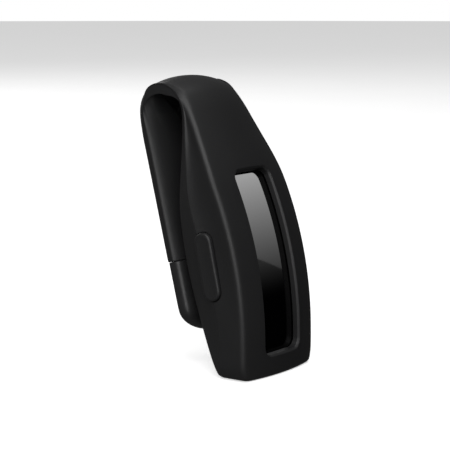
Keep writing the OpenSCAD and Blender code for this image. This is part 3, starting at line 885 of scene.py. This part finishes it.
steel = speckled("spring_steel", (0.42, 0.43, 0.45), (0.52, 0.53, 0.55), 0.3, 8.0, 0.002, Metallic=1.0)
tree = NodeTree("strip", Thickness=SPRING_T * MM, Width=SPRING_W * MM)
path = tree.node("GeometryNodeMeshToCurve", Mesh=tree.source.outputs["Geometry"])
outline = tree.node("GeometryNodeCurvePrimitiveQuadrilateral", Width=tree.size("Width"),
                    Height=tree.size("Thickness"))
strip = tree.node("GeometryNodeCurveToMesh", Curve=path, Profile_Curve=outline, Fill_Caps=True)
tree.run(spring, strip, steel)
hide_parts("spring_case_leg", "spring_bend", "spring_arm_leg")
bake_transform(spring)
follow_loop(spring)


# ---------------------------------------------------------------------------
# Front lens. Smoked clear plastic, bent along the tracker with a very slight
# crown across it, hard coated and glossy, glued over the display.

LENS_T, RIM_W, FIT, LENS_CROWN, LENS_BEVEL = 1.5, 0.8, 0.05, 0.2, 0.12


def lens_ring(angle, sink=0.0):
    half_w = SIDE_X - RIM_W - FIT
    across = np.linspace(-1, 1, 25) * (half_w - LENS_BEVEL)
    front_side = [(x, LIP_T + sink + LENS_CROWN * (x / SIDE_X) ** 2) for x in across]
    edge_d = front_side[-1][1] + LENS_BEVEL
    rest = [(half_w, edge_d), (half_w, LIP_T + LENS_T), (-half_w, LIP_T + LENS_T), (-half_w, edge_d)]
    return [radial(angle, x, d) for x, d in front_side + rest]


lens_gap, lens_turn = (RIM_W + FIT) / GLASS_R, LENS_BEVEL / GLASS_R
lens_a = np.linspace(low_a + lens_gap + lens_turn, high_a - lens_gap - lens_turn, 60)
lens = settle(lofted("front_lens_cover", [lens_ring(low_a + lens_gap, LENS_BEVEL)]
                     + [lens_ring(a) for a in lens_a]
                     + [lens_ring(high_a - lens_gap, LENS_BEVEL)]), 30)
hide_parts("front_lens")
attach(lens, "case")
smoke = Finish("smoked_lens", IOR=1.5)
haze = smoke.noise(0.3, 2.0)
smoke.drive(Base_Color=smoke.tint(haze, (0.0006, 0.0006, 0.0007), (0.0009, 0.0009, 0.001)),
            Roughness=smoke.ramp(haze, 0.03, 0.05, 0.3, 0.7))
lens.data.materials.append(smoke.material)
glossy = bpy.data.collections.new("card_shows_in")
glossy.objects.link(lens)
card.light_linking.receiver_collection = glossy


# ---------------------------------------------------------------------------
# Tracker case. Moulded housing, gasket and rear cover, which show through the
# mouth in the back of the silicone. Fine spark-eroded texture on both mouldings.

def dress(material, *nodes):
    """Gives CAD nodes their finish."""
    for node in nodes:
        mesh = frame["nodes"][node].data
        mesh.materials.clear()
        mesh.materials.append(material)


dress(speckled("housing_plastic", (0.018, 0.018, 0.019), (0.024, 0.024, 0.025), 0.45, 6.0, 0.01),
      "tracker_housing", "rear_cover")
dress(speckled("seal_rubber", (0.03, 0.03, 0.03), (0.05, 0.05, 0.05), 0.7, 4.0, 0.01),
      "cover_gasket", "button_seal")


# ---------------------------------------------------------------------------
# Display. A small panel glued under the lens by a frame of black foam tape, with
# an amber polyimide lead that folds round the chassis to the board.

dress(speckled("foam_tape", (0.02, 0.02, 0.02), (0.035, 0.035, 0.035), 0.85, 9.0, 0.02),
      "lens_adhesive")
dress(speckled("display_glass", (0.012, 0.012, 0.018), (0.02, 0.02, 0.028), 0.12, 1.0, 0.0),
      "display_panel")

# copper tracks show through the film as darker lines
film = Finish("flex_film", IOR=1.6)
track = film.node("ShaderNodeTexWave", {"bands_direction": "X"},
                  {"Vector": film.place(), "Scale": 0.6 / MM, "Distortion": 0.0})
film.drive(Base_Color=film.tint(track, (0.42, 0.17, 0.03), (0.6, 0.28, 0.06)),
           Roughness=film.ramp(track, 0.3, 0.45), Normal=film.relief(track, 0.01))
dress(film.material, "display_flex", "battery_flex")


# ---------------------------------------------------------------------------
# Chassis and board. A stamped plate carries the parts; the green board is held
# to it by four small socket-head screws, with a tin shield over the radio.

dress(speckled("brushed_plate", (0.2, 0.2, 0.21), (0.28, 0.28, 0.29), 0.4, 6.0, 0.004, Metallic=1.0),
      "chassis")

# green solder mask over copper, with a grid of fine raised tracks
mask = Finish("circuit_board", IOR=1.5)
tracks = mask.node("ShaderNodeTexBrick", {"offset": 0.5}, {
    "Vector": mask.place(), "Scale": 1.2 / MM, "Mortar Size": 0.06}, "Fac")
mask.drive(Base_Color=mask.tint(tracks, (0.01, 0.07, 0.03), (0.02, 0.16, 0.06)),
           Roughness=mask.ramp(mask.noise(4.0), 0.3, 0.45, 0.3, 0.7), Normal=mask.relief(tracks, 0.02))
dress(mask.material, "main_board", "sensor_board")
dress(speckled("tin_shield", (0.6, 0.6, 0.61), (0.72, 0.72, 0.73), 0.3, 5.0, 0.004, Metallic=1.0),
      "board_shield")
dress(speckled("antenna_copper", (0.75, 0.5, 0.3), (0.85, 0.6, 0.38), 0.3, 5.0, 0.002, Metallic=1.0),
      "antenna")
dress(speckled("chip_resin", (0.014, 0.014, 0.015), (0.022, 0.022, 0.023), 0.5, 9.0, 0.008),
      "board_chips")


# ---------------------------------------------------------------------------
# Board screws. Four stainless socket-head screws, one shape set at four places.

def box_in_tracker(node):
    """Lowest and highest corners of a CAD node in the tracker's frame, in millimetres."""
    co = np.empty(len(frame["nodes"][node].data.vertices) * 3)
    frame["nodes"][node].data.vertices.foreach_get("co", co)
    x, y, z = (co.reshape(-1, 3) / MM).T
    _, y0, z0 = tracker_place(0, 0, 0)
    back = (y - y0) * math.cos(mid_a) - (z - z0) * math.sin(mid_a)
    up = (y - y0) * math.sin(mid_a) + (z - z0) * math.cos(mid_a)
    return np.array([x.min(), back.min(), up.min()]), np.array([x.max(), back.max(), up.max()])


SCREW_R, HEAD_R, HEAD_H, SOCKET_R = 0.6, 1.0, 0.4, 0.45
screws_low, screws_high = box_in_tracker("chassis_screws")
screws_x = (screws_low[0] + HEAD_R, screws_high[0] - HEAD_R)
screws_z = (screws_low[2] + HEAD_R, screws_high[2] - HEAD_R)
screw_mesh = bpy.data.meshes.new("board_screws")
screw_mesh.from_pydata([Vector(tracker_place(x, screws_high[1], z)) * MM
                        for x in screws_x for z in screws_z], [], [])
screws = bpy.data.objects.new("board_screws", screw_mesh)
bpy.context.scene.collection.objects.link(screws)

stainless = speckled("stainless_screw", (0.5, 0.5, 0.5), (0.62, 0.62, 0.63), 0.28, 9.0, 0.002, Metallic=1.0)
shank_l = float(screws_high[1] - screws_low[1]) - HEAD_H
tree = NodeTree("screws", Shank=shank_l * MM, Head=HEAD_H * MM)


def lowered(tree, part, half, above=0.0):
    """Part moved down by half of one length and all of another"""
    down = tree.node("ShaderNodeMath", {"operation": "MULTIPLY_ADD"}, Value=half)
    tree.fill(down.node.inputs[1], -0.5)
    tree.fill(down.node.inputs[2], above)
    return tree.node("GeometryNodeTransform", Geometry=part,
                     Translation=tree.node("ShaderNodeCombineXYZ", Z=down))


minus_head = tree.node("ShaderNodeMath", {"operation": "MULTIPLY"}, Value=tree.size("Head"))
tree.fill(minus_head.node.inputs[1], -1.0)
shank = lowered(tree, tree.node("GeometryNodeMeshCylinder", Vertices=16, Side_Segments=6,
                                Radius=SCREW_R * MM, Depth=tree.size("Shank")),
                tree.size("Shank"), minus_head)
head = lowered(tree, tree.node("GeometryNodeMeshCylinder", Vertices=24, Side_Segments=1,
                               Radius=HEAD_R * MM, Depth=tree.size("Head")), tree.size("Head"))
socket = tree.node("GeometryNodeMeshCylinder", Vertices=6, Radius=SOCKET_R * MM, Depth=tree.size("Head"))
dug = tree.node("GeometryNodeMeshBoolean", {"operation": "DIFFERENCE"}, Mesh_1=head, Mesh_2=socket)
whole = tree.node("GeometryNodeJoinGeometry", Geometry=shank)
tree.fill(whole.node.inputs[0], dug)
points = tree.node("GeometryNodeMeshToPoints", Mesh=tree.source.outputs["Geometry"])
laid = tree.node("GeometryNodeInstanceOnPoints", Points=points, Instance=whole,
                 Rotation=(-math.pi / 2 - mid_a, 0, 0))
tree.run(screws, laid, stainless)
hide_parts("chassis_screws")
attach(screws, "case")


# ---------------------------------------------------------------------------
# Battery and motor. A foil pouch cell beside a small coin motor: a pressed steel
# can, and inside it an eccentric rotor that turns on the can's pin.

dress(speckled("pouch_foil", (0.55, 0.56, 0.58), (0.68, 0.69, 0.7), 0.35, 1.2, 0.03, Metallic=1.0),
      "battery")
dress(speckled("pressed_can", (0.6, 0.6, 0.6), (0.7, 0.7, 0.7), 0.25, 7.0, 0.003, Metallic=1.0),
      "motor_can")
dress(speckled("sintered_weight", (0.25, 0.25, 0.26), (0.35, 0.35, 0.36), 0.5, 9.0, 0.01, Metallic=1.0),
      "motor_rotor")


# ---------------------------------------------------------------------------
# Side button. Moulded cap and stem, kept in the wall by a spring-steel clip, in
# front of a low switch.

dress(speckled("button_plastic", (0.016, 0.016, 0.017), (0.022, 0.022, 0.023), 0.35, 6.0, 0.006),
      "side_button")
dress(steel, "button_clip")
dress(speckled("switch_body", (0.03, 0.03, 0.032), (0.05, 0.05, 0.052), 0.45, 6.0, 0.006), "button_switch")


# ---------------------------------------------------------------------------
# Pulse sensor and charging contacts. Green diodes and a receiver under a clear
# window, and three gold-plated contacts, all seen through the mouth in the back.

dress(speckled("diode_resin", (0.1, 0.5, 0.12), (0.2, 0.65, 0.2), 0.25, 5.0, 0.003), "sensor_diodes")
dress(speckled("sensor_glass", (0.006, 0.008, 0.006), (0.012, 0.014, 0.012), 0.08, 1.0, 0.0),
      "sensor_window")
dress(speckled("contact_gold", (0.8, 0.6, 0.25), (0.9, 0.7, 0.32), 0.22, 6.0, 0.002, Metallic=1.0),
      "charging_contacts")
